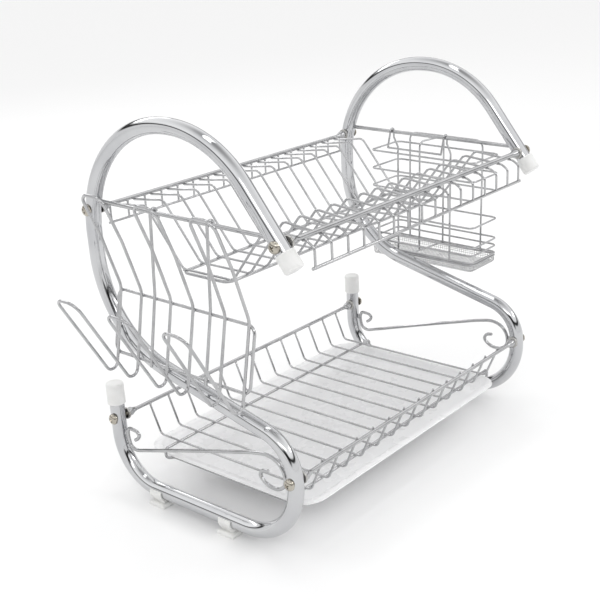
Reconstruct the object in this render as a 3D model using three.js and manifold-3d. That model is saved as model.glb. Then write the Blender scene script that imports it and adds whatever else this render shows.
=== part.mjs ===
// Two-tier dish drying rack: two bent tube side frames joined by two welded wire
// baskets, with a hook-on cup rack, a hook-on utensil basket and a slide-out drip tray.
// Units are millimetres. +X runs along the rack, -Y is its front, +Z is up.

import * as THREE from "three";
import { mergeVertices } from "three/addons/utils/BufferGeometryUtils.js";
import Module from "manifold-3d";

const wasm = await Module();
wasm.setup();

// ---- Driving dimensions ----------------------------------------------------

const FRAME_GAP = 387; // between the two side frames' centre planes
const DEPTH = 233; // front to rear of a side frame's tube centreline
const HEIGHT = 382; // worktop to the arch's tube centreline
const TUBE_D = 15; // side frame tube
const FOOT_DROP = 7; // worktop to the underside of the tube
const CLEAR = 0.3; // running gap between separate pieces
const WELD = 0.8; // how far crossing wires sink into each other at a weld

const RAIL_D = 4; // basket long rails
const TOP_RAIL_D = 5.4; // front rail of the upper basket
const WIRE_D = 2.6; // basket cross wires
const LOOP_D = 3; // floor loops and tray carrier
const SIDE_BAR_D = 4; // bar between the arms of a side frame
const CUP_WIRE_D = 3.2; // cup rack wire
const UTENSIL_WIRE_D = 2.6; // utensil basket wire

const PLATE_WIRES = 16; // bent wires of the upper basket
const GUARD_DROPS = 17; // short uprights of the plate guard
const FLOOR_WIRES = 13; // cross wires of the lower basket

const BOLT_D = 4; // bolt shank
const BOLT_HEAD_D = 11;
const BOLT_HEAD_H = 4.6;
const WASHER_D = 12;
const WASHER_T = 2.5;
const BOSS_D = 9; // threaded boss welded on each rail end
const BOSS_L = 9;

const CAP_D = TUBE_D + 3; // plastic cap on a tube end
const CAP_WALL = (CAP_D - TUBE_D) / 2 - CLEAR;
const REAR_CAP_L = 22;
const FRONT_CAP_L = 16.5;

const CUP_PEGS = 3; // wire loops of the cup rack
const CUP_PEG_PITCH = 66.5;
const CUP_PEG_W = 28;

const UTENSIL_L = 141; // utensil basket along Y
const UTENSIL_W = 56; // and along X

const TRAY_W = 222; // drip tray along Y
const TRAY_H = 10.4;
const TRAY_T = 1.6;
const TRAY_LIP = 3; // how far its flange reaches past the wire that carries it

const TUBE_R = TUBE_D / 2;
const BASE_Z = FOOT_DROP + TUBE_R; // centreline of the tube's floor run
const BEND_STEP = (55 * Math.PI) / 180; // facet angle of wire bends
const TUBE_STEP = (15 * Math.PI) / 180; // facet angle of tube bends

// The layout below is drawn at the nominal size and stretched with DEPTH and HEIGHT.
const KY = DEPTH / 233;
const KZ = (HEIGHT - BASE_Z) / (382 - 14.5);
const KR = Math.min(KY, KZ);
const atY = (y) => y * KY;
const atZ = (z) => BASE_Z + (z - 14.5) * KZ;
const v3 = (x, y, z) => new THREE.Vector3(x, y, z);

// ---- Shape helpers ---------------------------------------------------------

// Corner points with each corner rounded to its radius (a number, or one per corner).
function rounded(corners, radius, closed = false, step = BEND_STEP) {
  const n = corners.length;
  const out = [];
  const turnAt = (i) => {
    const a = corners[(i + n - 1) % n].clone().sub(corners[i]);
    const b = corners[(i + 1) % n].clone().sub(corners[i]);
    return Math.PI - a.angleTo(b);
  };
  const isEnd = (i) => !closed && (i === 0 || i === n - 1);
  const wants = corners.map((p, i) => {
    if (isEnd(i)) return 0;
    const r = Array.isArray(radius) ? radius[i] : radius;
    return r * Math.tan(turnAt(i) / 2);
  });
  corners.forEach((p, i) => {
    const before = (i + n - 1) % n;
    const after = (i + 1) % n;
    if (wants[i] < 1e-3) {
      out.push(p.clone());
      return;
    }
    const a = corners[before].clone().sub(p);
    const b = corners[after].clone().sub(p);
    const fitA = (0.98 * a.length()) / (wants[i] + wants[before]);
    const fitB = (0.98 * b.length()) / (wants[i] + wants[after]);
    const back = wants[i] * Math.min(1, fitA, fitB);
    const turn = turnAt(i);
    const r = back / Math.tan(turn / 2);
    a.normalize();
    b.normalize();
    const toCentre = a.clone().add(b).normalize();
    const centre = p.clone().addScaledVector(toCentre, r / Math.cos(turn / 2));
    const from = p.clone().addScaledVector(a, back).sub(centre);
    const to = p.clone().addScaledVector(b, back).sub(centre);
    const axis = from.clone().cross(to).normalize();
    const pieces = Math.max(1, Math.round(turn / step));
    for (let k = 0; k <= pieces; k++) {
      const spoke = from.clone().applyAxisAngle(axis, (turn * k) / pieces);
      out.push(centre.clone().add(spoke));
    }
  });
  return out;
}

// Round bar along a run of points: one closed body, with flat ends or closed on itself.
function bar(points, diameter, sides = 5, closed = false) {
  const n = points.length;
  const along = (i) => {
    const prev = closed ? points[(i + n - 1) % n] : points[Math.max(i - 1, 0)];
    const next = closed ? points[(i + 1) % n] : points[Math.min(i + 1, n - 1)];
    const a = points[i].clone().sub(prev).normalize();
    const b = next.clone().sub(points[i]).normalize();
    return a.add(b).normalize();
  };
  const first = along(0);
  const side = Math.abs(first.x) < 0.9 ? v3(1, 0, 0) : v3(0, 0, 1);
  let u = side.addScaledVector(first, -side.dot(first)).normalize();
  const u0 = u.clone();
  let t = first;
  const frames = points.map((p, i) => {
    const next = along(i);
    const q = new THREE.Quaternion().setFromUnitVectors(t, next);
    u = u.clone().applyQuaternion(q);
    t = next;
    return { p, t: next, u };
  });
  // A closed run that leaves its plane comes back turned; the turn is shared out.
  let twist = 0;
  if (closed) {
    const q = new THREE.Quaternion().setFromUnitVectors(t, first);
    const end = u.clone().applyQuaternion(q);
    twist = Math.atan2(end.clone().cross(u0).dot(first), end.dot(u0));
  }
  const xyz = [];
  frames.forEach(({ p, t: dir, u: out }, i) => {
    const w = dir.clone().cross(out);
    for (let s = 0; s < sides; s++) {
      const a = (2 * Math.PI * s) / sides + (twist * i) / n;
      const q = p.clone();
      q.addScaledVector(out, (Math.cos(a) * diameter) / 2);
      q.addScaledVector(w, (Math.sin(a) * diameter) / 2);
      xyz.push(q.x, q.y, q.z);
    }
  });
  const index = [];
  const rings = closed ? n : n - 1;
  for (let i = 0; i < rings; i++) {
    const a = i * sides;
    const b = ((i + 1) % n) * sides;
    for (let s = 0; s < sides; s++) {
      const e = (s + 1) % sides;
      index.push(a + s, a + e, b + e, a + s, b + e, b + s);
    }
  }
  if (!closed) {
    const last = (n - 1) * sides;
    for (let s = 1; s < sides - 1; s++) {
      index.push(0, s + 1, s);
      index.push(last, last + s, last + s + 1);
    }
  }
  const g = new THREE.BufferGeometry();
  g.setAttribute("position", new THREE.Float32BufferAttribute(xyz, 3));
  g.setIndex(index);
  return g;
}

// Geometry to solid and back.
function solid(geometry) {
  const g = geometry.clone();
  g.deleteAttribute("normal");
  g.deleteAttribute("uv");
  const m = mergeVertices(g, 1e-4);
  return new wasm.Manifold(
    new wasm.Mesh({
      numProp: 3,
      vertProperties: new Float32Array(m.attributes.position.array),
      triVerts: new Uint32Array(m.index.array),
    }),
  );
}

function geometryOf(body) {
  const mesh = body.getMesh();
  const g = new THREE.BufferGeometry();
  const xyz = new THREE.Float32BufferAttribute(mesh.vertProperties, 3);
  g.setAttribute("position", xyz);
  g.setIndex(Array.from(mesh.triVerts));
  return g.toNonIndexed();
}

const joined = (list) => list.map(solid).reduce((a, b) => a.add(b));
const cut = (body, list) =>
  list.map(solid).reduce((a, b) => a.subtract(b), body);

// Lathe profile [radius, x] turned about an axis along X through (y, z).
function turnedX(profile, y, z, segments = 8) {
  const pts = profile.map(([r, h]) => new THREE.Vector2(r, h));
  const g = new THREE.LatheGeometry(pts, segments);
  g.rotateZ(-Math.PI / 2);
  g.translate(0, y, z);
  return g;
}

// Mirrors a geometry to the other end of the rack.
function mirroredX(g) {
  const m = g.index ? g.toNonIndexed() : g.clone();
  m.scale(-1, 1, 1);
  const p = m.attributes.position;
  for (let i = 0; i < p.count; i += 3) {
    const a = [p.getX(i), p.getY(i), p.getZ(i)];
    p.setXYZ(i, p.getX(i + 1), p.getY(i + 1), p.getZ(i + 1));
    p.setXYZ(i + 1, ...a);
  }
  m.deleteAttribute("normal");
  return m;
}

const spread = (count, from, to) =>
  Array.from({ length: count }, (_, i) => from + ((to - from) * i) / (count - 1));

// ---- Materials -------------------------------------------------------------

const steel = (name, color, roughness) =>
  new THREE.MeshStandardMaterial({ name, color, roughness, metalness: 1 });
const plastic = (name, color, roughness) =>
  new THREE.MeshStandardMaterial({ name, color, roughness, metalness: 0 });

const CHROME = steel("chrome", 0xd9dadc, 0.12);
const WIRE_CHROME = steel("wire_chrome", 0xcfd1d3, 0.18);
const NICKEL = steel("nickel", 0xc9c3b4, 0.25);
const WHITE = plastic("white_plastic", 0xf2f2ef, 0.45);
const CLEAR_FOOT = plastic("foot_plastic", 0xe6e7e1, 0.4);
const TRAY_PLASTIC = plastic("tray_plastic", 0xe9ebec, 0.35);

const rack = new THREE.Group();
function add(name, geometry, material) {
  const mesh = new THREE.Mesh(geometry, material.clone());
  mesh.name = name;
  rack.add(mesh);
  return mesh;
}

// ---- Side frames -----------------------------------------------------------

// One tube bent in an S: low rear post, floor run, front bend, long diagonal to the
// rear, tall arch over the top and a front arm that ends level with the upper basket.
const REAR_Y = atY(122.5);
const FRONT_Y = atY(-110.5);
const POST_TOP = v3(0, REAR_Y, atZ(117.3));
const ARM_END = v3(0, atY(-123.3), atZ(279));
const ARM_TOP = v3(0, atY(-43), atZ(382));
const ARM_OUT = ARM_END.clone().sub(ARM_TOP).normalize();

const tubePath = rounded(
  [
    POST_TOP,
    v3(0, REAR_Y, BASE_Z),
    v3(0, FRONT_Y, BASE_Z),
    v3(0, FRONT_Y, atZ(114)),
    v3(0, REAR_Y, atZ(173.5)),
    v3(0, REAR_Y, atZ(382)),
    ARM_TOP,
    ARM_END,
  ],
  [0, 50 * KR, 62 * KR, 42 * KR, 104 * KR, 110 * KR, 108 * KR, 0],
  false,
  TUBE_STEP,
);

// Where the tube's centreline crosses height z, searched from the top or the foot.
function tubeY(z, rear, fromTop) {
  const run = fromTop ? [...tubePath].reverse() : tubePath;
  let found = rear ? REAR_Y : FRONT_Y;
  for (let i = 1; i < run.length; i++) {
    const a = run[i - 1];
    const b = run[i];
    const crosses = (a.z - z) * (b.z - z) <= 0 && a.z !== b.z;
    const y = a.y + ((b.y - a.y) * (z - a.z)) / (b.z - a.z || 1);
    if (crosses && y > 0 === rear) {
      found = y;
      break;
    }
  }
  return found;
}

// Long rails: each is bolted through the tubes at both ends.
const CAP_LIFT = CAP_WALL + 0.4 + CLEAR; // tube end to the cap's outer face
const LOW_Z = atZ(82.3);
const TOP_BOLT = FRONT_CAP_L - CAP_LIFT + BOLT_HEAD_D / 2 + 2.5; // up the front arm
const TOP_Z = ARM_END.z - ARM_OUT.z * TOP_BOLT;
const RAILS = {
  lower_rear: { y: tubeY(LOW_Z, true, false) - 2, z: LOW_Z, d: RAIL_D },
  lower_front: { y: tubeY(LOW_Z, false, false), z: LOW_Z, d: RAIL_D },
  upper_rear: { y: tubeY(TOP_Z, true, true), z: TOP_Z, d: RAIL_D },
  upper_front: { y: tubeY(TOP_Z, false, true) - 1.5, z: TOP_Z, d: TOP_RAIL_D },
};

const HALF = FRAME_GAP / 2;
const tubeAtX = (x, diameter, sides = 10) =>
  bar(
    tubePath.map((p) => p.clone().setX(x)),
    diameter,
    sides,
  );

function sideFrame(name, x) {
  const holes = Object.values(RAILS).map(({ y, z }) =>
    bar([v3(x - 12, y, z), v3(x + 12, y, z)], BOLT_D + 2 * CLEAR, 8),
  );
  add(name, geometryOf(cut(solid(tubeAtX(x, TUBE_D)), holes)), CHROME);
}
sideFrame("side_frame_left", -HALF);
sideFrame("side_frame_right", HALF);

// Side bar: a straight rod between the rear of the arch and the front arm. The cup rack
// and the utensil basket hook over it.
const BAR_REAR_Z = TOP_Z + 8.5;
const BAR_FRONT_Z = TOP_Z + 4.5;
const SIDE_BAR = [
  v3(0, tubeY(BAR_REAR_Z, true, true) - 4, BAR_REAR_Z),
  v3(0, tubeY(BAR_FRONT_Z, false, true) + 4, BAR_FRONT_Z),
];
const BAR_SLOPE = (BAR_REAR_Z - BAR_FRONT_Z) / (SIDE_BAR[0].y - SIDE_BAR[1].y);
const HANG_Y = atY(10); // pieces hung on the bar are built level and tilted about here
const SIDE_BAR_Z = BAR_FRONT_Z + BAR_SLOPE * (HANG_Y - SIDE_BAR[1].y);

// Tilts a piece that hangs on the side bar to the slope of the bar.
function hung(geometry) {
  const g = geometry.clone();
  g.translate(0, -HANG_Y, -SIDE_BAR_Z);
  g.rotateX(Math.atan(BAR_SLOPE));
  g.translate(0, HANG_Y, SIDE_BAR_Z);
  return g;
}
for (const [name, x] of [
  ["side_bar_left", -HALF],
  ["side_bar_right", HALF],
]) {
  const rod = bar(
    SIDE_BAR.map((p) => p.clone().setX(x)),
    SIDE_BAR_D,
    8,
  );
  const coped = cut(solid(rod), [tubeAtX(x, TUBE_D + 2 * CLEAR)]);
  add(name, geometryOf(coped), CHROME);
}

// Scroll brace: a wire that curls at both ends and crosses the lower bay of the tube.
const SCROLL = [
  [101, 61],
  [96, 64.5],
  [94, 68.5],
  [97, 71.5],
  [103, 72.5],
  [108, 72],
  [110.6, 67],
  [110, 59],
  [107.5, 53],
  [101, 50.5],
  [86, 54],
  [52, 64],
  [0, 79],
  [-36, 89],
  [-62, 96],
  [-79, 98.5],
  [-89.5, 95.5],
  [-96, 89],
  [-98.6, 81],
  [-97.4, 73.5],
  [-91, 68],
  [-82, 67],
  [-73.5, 70],
  [-69, 75.5],
  [-71.5, 80.5],
  [-79, 82.5],
];
const scrollCurve = new THREE.CatmullRomCurve3(
  SCROLL.map(([y, z]) => v3(0, atY(y), atZ(z))),
  false,
  "centripetal",
);
for (const [name, x] of [
  ["scroll_brace_left", -HALF],
  ["scroll_brace_right", HALF],
]) {
  const run = scrollCurve.getPoints(38).map((p) => p.setX(x));
  const trimmed = cut(solid(bar(run, 3.6)), [tubeAtX(x, TUBE_D + 2 * CLEAR)]);
  add(name, geometryOf(trimmed), CHROME);
}

// ---- Caps and feet ---------------------------------------------------------

// Blind sleeve pushed over a tube end; the profile starts at its closed, domed end.
function tubeCap(length) {
  const bore = TUBE_R + CLEAR;
  const outer = CAP_D / 2;
  const profile = [
    [0, 0],
    [outer - 2.5, 0],
    [outer - 0.7, 0.8],
    [outer, 2.6],
    [outer, length],
    [bore, length],
    [bore, CAP_WALL + 0.4],
    [0, CAP_WALL + 0.4],
  ];
  const pts = profile.map(([r, h]) => new THREE.Vector2(r, -h));
  return new THREE.LatheGeometry(pts.reverse(), 14);
}

for (const [end, x] of [
  ["left", -HALF],
  ["right", HALF],
]) {
  const rear = add(`rear_cap_${end}`, tubeCap(REAR_CAP_L), WHITE);
  rear.rotation.x = Math.PI / 2;
  rear.position.set(x, POST_TOP.y, POST_TOP.z + CAP_LIFT);
  const front = add(`front_cap_${end}`, tubeCap(FRONT_CAP_L), WHITE);
  front.quaternion.setFromUnitVectors(v3(0, 1, 0), ARM_OUT);
  front.position.copy(ARM_END).setX(x).addScaledVector(ARM_OUT, CAP_LIFT);
}

// Foot: a snap-on clip under the floor run with a flat pad that stands on the worktop.
function footClip(x, y) {
  const sleeve = bar([v3(x, y - 7.5, BASE_Z), v3(x, y + 7.5, BASE_Z)], 19.4, 14);
  const neck = new THREE.BoxGeometry(13, 15, FOOT_DROP + 3);
  neck.translate(x, y, (FOOT_DROP + 3) / 2 + 1);
  const pad = new THREE.BoxGeometry(19, 21, 4.2);
  pad.translate(x, y, 2.1);
  const tube = bar(
    [v3(x, y - 30, BASE_Z), v3(x, y + 30, BASE_Z)],
    TUBE_D + 2 * CLEAR,
    12,
  );
  const mouth = new THREE.BoxGeometry(30, 40, 30);
  mouth.translate(x, y, BASE_Z + 15 + 3.4);
  return geometryOf(cut(joined([sleeve, neck, pad]), [tube, mouth]));
}
const FEET = { rear: atY(69), front: atY(-25) };
for (const [end, x] of [
  ["left", -HALF],
  ["right", HALF],
])
  for (const [where, y] of Object.entries(FEET))
    add(`foot_${where}_${end}`, footClip(x, y), CLEAR_FOOT);

// ---- Bolts and washers -----------------------------------------------------

const TUBE_FACE = HALF + TUBE_R; // outer face of a side frame
const WASHER_X = HALF - TUBE_R - CLEAR; // washer's outer face
const RAIL_END = WASHER_X - WASHER_T - CLEAR; // end of a rail's boss

function boltProfile() {
  const seat = TUBE_FACE + CLEAR;
  return [
    [0, RAIL_END - 5],
    [BOLT_D / 2, RAIL_END - 5],
    [BOLT_D / 2, seat],
    [BOLT_HEAD_D / 2, seat],
    [BOLT_HEAD_D / 2, seat + 1],
    [BOLT_HEAD_D * 0.42, seat + 3],
    [BOLT_HEAD_D * 0.24, seat + BOLT_HEAD_H - 0.4],
    [0, seat + BOLT_HEAD_H],
  ];
}

const washerProfile = [
  [BOLT_D / 2 + CLEAR, WASHER_X - WASHER_T],
  [WASHER_D / 2 - 1, WASHER_X - WASHER_T],
  [WASHER_D / 2, WASHER_X - WASHER_T + 0.8],
  [WASHER_D / 2, WASHER_X],
  [BOLT_D / 2 + CLEAR, WASHER_X],
  [BOLT_D / 2 + CLEAR, WASHER_X - WASHER_T],
];

for (const [rail, { y, z }] of Object.entries(RAILS)) {
  const bolt = turnedX(boltProfile(), y, z);
  const washer = turnedX(washerProfile, y, z);
  add(`bolt_${rail}_right`, bolt, NICKEL);
  add(`bolt_${rail}_left`, mirroredX(bolt), NICKEL);
  add(`washer_${rail}_right`, washer, NICKEL);
  add(`washer_${rail}_left`, mirroredX(washer), NICKEL);
}

// A rail is a rod with a flared boss at each end, drilled for its bolt.
const railSolids = ({ y, z, d }) => {
  const boss = turnedX(
    [
      [0, RAIL_END - BOSS_L],
      [d / 2 + 0.4, RAIL_END - BOSS_L],
      [BOSS_D / 2, RAIL_END - 4],
      [BOSS_D / 2, RAIL_END],
      [0, RAIL_END],
    ],
    y,
    z,
  );
  const rod = bar([v3(2 - RAIL_END, y, z), v3(RAIL_END - 2, y, z)], d, 8);
  return [rod, boss, mirroredX(boss)];
};
const railDrills = ({ y, z }) =>
  [-1, 1].map((s) =>
    bar(
      [v3(s * (RAIL_END - 6), y, z), v3(s * (RAIL_END + 6), y, z)],
      BOLT_D + 2 * CLEAR,
      8,
    ),
  );

// ---- Upper basket ----------------------------------------------------------

// Each bent wire runs from the rear rail forward, down the back of the plate trough,
// along its floor, up to a crest, under the front rail and down to the bowl bar.
const PLATE_SPAN = HALF - 27;
const UP_FLOOR_Z = atZ(244.5);
const plateWireRun = (x) =>
  rounded(
    [
      v3(x, RAILS.upper_rear.y - 0.6, TOP_Z - 2.4),
      v3(x, atY(78), TOP_Z + 2),
      v3(x, atY(35), UP_FLOOR_Z),
      v3(x, atY(-27.5), UP_FLOOR_Z),
      v3(x, atY(-71), TOP_Z + 1.8),
      v3(x, RAILS.upper_front.y - 5, TOP_Z - 3.4),
      v3(x, RAILS.upper_front.y - 12, TOP_Z - 8),
      v3(x, RAILS.upper_front.y - 12, atZ(272)),
    ],
    5,
  );
const GUARD_Z = atZ(279.3);
const GUARD_Y = RAILS.upper_rear.y - 1.2;
const bowlBarY = RAILS.upper_front.y - 12;
const upLoopZ = UP_FLOOR_Z - (WIRE_D + LOOP_D) / 2 + WELD;
const upperParts = [
  ...railSolids(RAILS.upper_rear),
  ...railSolids(RAILS.upper_front),
  ...spread(PLATE_WIRES, -PLATE_SPAN, PLATE_SPAN).map((x) =>
    bar(plateWireRun(x), WIRE_D),
  ),
  bar([v3(-HALF + 15, GUARD_Y, GUARD_Z), v3(HALF - 15, GUARD_Y, GUARD_Z)], WIRE_D),
  ...spread(GUARD_DROPS, -HALF + 18.5, HALF - 18.5).map((x) =>
    bar([v3(x, GUARD_Y, TOP_Z - 0.4), v3(x, GUARD_Y, GUARD_Z - 0.3)], WIRE_D * 0.9),
  ),
  bar(
    [
      v3(-PLATE_SPAN - 4, bowlBarY, atZ(272)),
      v3(PLATE_SPAN + 4, bowlBarY, atZ(272)),
    ],
    LOOP_D,
  ),
  bar(
    rounded(
      [
        v3(-PLATE_SPAN - 3, atY(34), upLoopZ),
        v3(PLATE_SPAN + 3, atY(34), upLoopZ),
        v3(PLATE_SPAN + 3, atY(-24), upLoopZ),
        v3(-PLATE_SPAN - 3, atY(-24), upLoopZ),
      ],
      8,
      true,
    ),
    LOOP_D,
    5,
    true,
  ),
];
const upperBasket = cut(joined(upperParts), [
  ...railDrills(RAILS.upper_rear),
  ...railDrills(RAILS.upper_front),
]);
add("upper_basket", geometryOf(upperBasket), WIRE_CHROME);

// ---- Lower basket ----------------------------------------------------------

// Cross wires slope down from the rear rail, run flat and slope up past the front rail.
const FLOOR_SPAN = HALF - 39.5;
const FLOOR_Z = atZ(49.7);
const FLOOR_REAR = RAILS.lower_rear.y - 14;
const FLOOR_FRONT = RAILS.lower_front.y + 17;
const floorWireRun = (x) => {
  const wallY = RAILS.lower_front.y + (RAIL_D + WIRE_D) / 2 - WELD;
  return rounded(
    [
      v3(x, RAILS.lower_rear.y - 1, LOW_Z - 0.8),
      v3(x, FLOOR_REAR, FLOOR_Z),
      v3(x, FLOOR_FRONT, FLOOR_Z),
      v3(x, wallY, LOW_Z),
      v3(x, wallY - 1.2, LOW_Z + 3.4),
    ],
    [0, 4, 4, 0, 0],
  );
};

// The floor loop is welded under the cross wires; both its ends drop below the floor and
// carry the tray.
const floorLoopZ = FLOOR_Z - (WIRE_D + LOOP_D) / 2 + WELD;
const CARRIER_DROP = 10.4;
const CARRIER_Z = floorLoopZ - CARRIER_DROP;
const CARRIER_X = HALF - 27.5;
const RISER_X = CARRIER_X + TRAY_LIP + LOOP_D / 2 + 1.5;
const JOG = RISER_X - CARRIER_X;
const LOOP_REAR = atY(82);
const LOOP_FRONT = atY(-85);
const lowerParts = [
  ...railSolids(RAILS.lower_rear),
  ...railSolids(RAILS.lower_front),
  ...spread(FLOOR_WIRES, -FLOOR_SPAN, FLOOR_SPAN).map((x) =>
    bar(floorWireRun(x), WIRE_D),
  ),
  bar(
    rounded(
      [
        v3(-RISER_X, LOOP_REAR, floorLoopZ),
        v3(RISER_X, LOOP_REAR, floorLoopZ),
        v3(RISER_X, LOOP_REAR, CARRIER_Z),
        v3(CARRIER_X, LOOP_REAR - JOG, CARRIER_Z),
        v3(CARRIER_X, LOOP_FRONT + JOG, CARRIER_Z),
        v3(RISER_X, LOOP_FRONT, CARRIER_Z),
        v3(RISER_X, LOOP_FRONT, floorLoopZ),
        v3(-RISER_X, LOOP_FRONT, floorLoopZ),
        v3(-RISER_X, LOOP_FRONT, CARRIER_Z),
        v3(-CARRIER_X, LOOP_FRONT + JOG, CARRIER_Z),
        v3(-CARRIER_X, LOOP_REAR - JOG, CARRIER_Z),
        v3(-RISER_X, LOOP_REAR, CARRIER_Z),
      ],
      4,
      true,
    ),
    LOOP_D,
    5,
    true,
  ),
];
const lowerBasket = cut(joined(lowerParts), [
  ...railDrills(RAILS.lower_rear),
  ...railDrills(RAILS.lower_front),
]);
add("lower_basket", geometryOf(lowerBasket), WIRE_CHROME);

// ---- Drip tray -------------------------------------------------------------

// Shallow moulded tray. Its flange rests on the lowered ends of the floor loop, and it
// slides out to the front.
function roundedRect(w, d, r, steps = 4) {
  const pts = [];
  const centres = [
    [w / 2 - r, d / 2 - r, 0],
    [r - w / 2, d / 2 - r, 1],
    [r - w / 2, r - d / 2, 2],
    [w / 2 - r, r - d / 2, 3],
  ];
  for (const [cx, cy, q] of centres)
    for (let k = 0; k <= steps; k++) {
      const a = ((q + k / steps) * Math.PI) / 2;
      pts.push([cx + r * Math.cos(a), cy + r * Math.sin(a)]);
    }
  return pts;
}

// Stack of equal-length outlines joined into one closed skin, first one at the bottom.
function loft(levels) {
  const n = levels[0].pts.length;
  const xyz = levels.flatMap(({ pts, z }) => pts.flatMap(([x, y]) => [x, y, z]));
  const index = [];
  for (let l = 0; l + 1 < levels.length; l++)
    for (let i = 0; i < n; i++) {
      const a = l * n + i;
      const b = l * n + ((i + 1) % n);
      index.push(a, b, b + n, a, b + n, a + n);
    }
  const top = (levels.length - 1) * n;
  for (let i = 1; i + 1 < n; i++) {
    index.push(0, i + 1, i);
    index.push(top, top + i, top + i + 1);
  }
  const g = new THREE.BufferGeometry();
  g.setAttribute("position", new THREE.Float32BufferAttribute(xyz, 3));
  g.setIndex(index);
  return g;
}

const TRAY_L = 2 * (CARRIER_X + TRAY_LIP);
const TRAY_WALL = TRAY_LIP + LOOP_D / 2 + 2.3; // flange edge to the wall's outer side
const trayLevel = (inset, z) => ({
  pts: roundedRect(TRAY_L - 2 * inset, TRAY_W * KY - 2 * inset, 24 - inset),
  z,
});
const trayOuter = loft([
  trayLevel(TRAY_WALL + 6, 0),
  trayLevel(TRAY_WALL, TRAY_H - TRAY_T),
  trayLevel(0, TRAY_H - TRAY_T),
  trayLevel(0, TRAY_H),
]);
const trayInner = loft([
  trayLevel(TRAY_WALL + 6 + TRAY_T * 0.8, TRAY_T),
  trayLevel(TRAY_WALL + TRAY_T, TRAY_H),
  trayLevel(TRAY_WALL + TRAY_T, TRAY_H + 4),
]);
const trayGeometry = geometryOf(cut(solid(trayOuter), [trayInner]));
const tray = add("drip_tray", trayGeometry, TRAY_PLASTIC);
tray.position.set(0, atY(7), CARRIER_Z + LOOP_D / 2 + CLEAR - (TRAY_H - TRAY_T));

// ---- Cup rack --------------------------------------------------------------

// Hangs outside the left frame on two hooks. Every loop is one wire: its top leans out as
// an upper peg, its legs cross the frame wires, and its foot turns up as a lower peg.
const hookR = (SIDE_BAR_D + CUP_WIRE_D) / 2 + CLEAR;
const CUP_LEG = [
  [hookR + 38.5, SIDE_BAR_Z + 20],
  [hookR + 20, SIDE_BAR_Z - 24],
  [hookR + 3.4, SIDE_BAR_Z - 75],
  [hookR + 16, SIDE_BAR_Z - 139],
  [hookR + 21.5, SIDE_BAR_Z - 164],
  [hookR + 78.5, SIDE_BAR_Z - 65],
];
const cupX = (out) => -HALF - out;
const cupParts = [];
const cupMiddle = atY(2.5);
for (let i = 0; i < CUP_PEGS; i++) {
  const yc = cupMiddle + (i - (CUP_PEGS - 1) / 2) * CUP_PEG_PITCH;
  const leg = (s) =>
    CUP_LEG.map(([out, z]) => v3(cupX(out), yc + (s * CUP_PEG_W) / 2, z));
  const corners = [...leg(1), ...leg(-1).reverse()];
  const radii = [10, 30, 20, 20, 7, 10, 10, 7, 20, 20, 30, 10];
  const loop = rounded(corners, radii, true, (30 * Math.PI) / 180);
  cupParts.push(bar(loop, CUP_WIRE_D, 5, true));
}
const frameIn = CUP_WIRE_D - WELD; // the rectangle sits on the inner side of the legs
const cupTopZ = CUP_LEG[2][1] - 4;
const cupLowZ = CUP_LEG[3][1] + 1;
const cupHalf = CUP_PEG_PITCH + CUP_PEG_W / 2 + 5;
const topOut = CUP_LEG[2][0] + 1 - frameIn;
const lowOut = CUP_LEG[3][0] - frameIn;
cupParts.push(
  bar(
    rounded(
      [
        v3(cupX(topOut), cupMiddle + cupHalf, cupTopZ),
        v3(cupX(topOut), cupMiddle - cupHalf, cupTopZ),
        v3(cupX(lowOut), cupMiddle - cupHalf, cupLowZ),
        v3(cupX(lowOut), cupMiddle + cupHalf, cupLowZ),
      ],
      8,
      true,
    ),
    CUP_WIRE_D,
    5,
    true,
  ),
);

// A hook: tail inside the side bar, a half turn over it, then down outside.
function hookTurn(x, y, outward, r, tail) {
  const turn = [];
  for (let k = 0; k <= 4; k++) {
    const a = (Math.PI * k) / 4;
    const across = -Math.cos(a) * r * outward;
    turn.push(v3(x + across, y, SIDE_BAR_Z + Math.sin(a) * r));
  }
  return [v3(x - (r + tail * 0.3) * outward, y, SIDE_BAR_Z - tail), ...turn];
}
for (const y of [cupMiddle + 35, cupMiddle - 35]) {
  const run = [
    ...hookTurn(-HALF, y, -1, hookR, 7),
    v3(cupX(CUP_LEG[2][0]), y, cupTopZ),
    v3(cupX(CUP_LEG[3][0]), y, cupLowZ - 3),
  ];
  cupParts.push(bar(run, CUP_WIRE_D));
}
add("cup_rack", hung(geometryOf(joined(cupParts))), WIRE_CHROME);

// ---- Utensil basket --------------------------------------------------------

// Wire box that hangs outside the right frame: stacked rings, uprights, a hanger with two
// hooks, a tall hoop along its outer side and a divider across the middle.
const UW = UTENSIL_WIRE_D;
const ringIn = HALF + TUBE_R + UW / 2 + 1.1; // inner side of the rings
const ringOut = ringIn + UTENSIL_W;
const yRear = atY(23) + UTENSIL_L / 2;
const yFront = yRear - UTENSIL_L;
const ringZ = [-27.5, -49, -70, -102.5, -126.5, -135.5, -144.5].map(
  (drop) => SIDE_BAR_Z + drop,
);
const basketRing = (z) =>
  bar(
    rounded(
      [
        v3(ringIn, yRear, z),
        v3(ringOut, yRear, z),
        v3(ringOut, yFront, z),
        v3(ringIn, yFront, z),
      ],
      7,
      true,
    ),
    UW,
    5,
    true,
  );
const lastRing = ringZ[ringZ.length - 1];
const footZ = lastRing - 0.6;
const uprightIn = ringIn + UW - WELD;
const uprightOut = ringOut - UW + WELD;
const utensilHook = (SIDE_BAR_D + UW) / 2 + CLEAR;
const hangerY = [yRear - 38, yRear - 110];
const hoopTop = SIDE_BAR_Z - 14;
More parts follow.
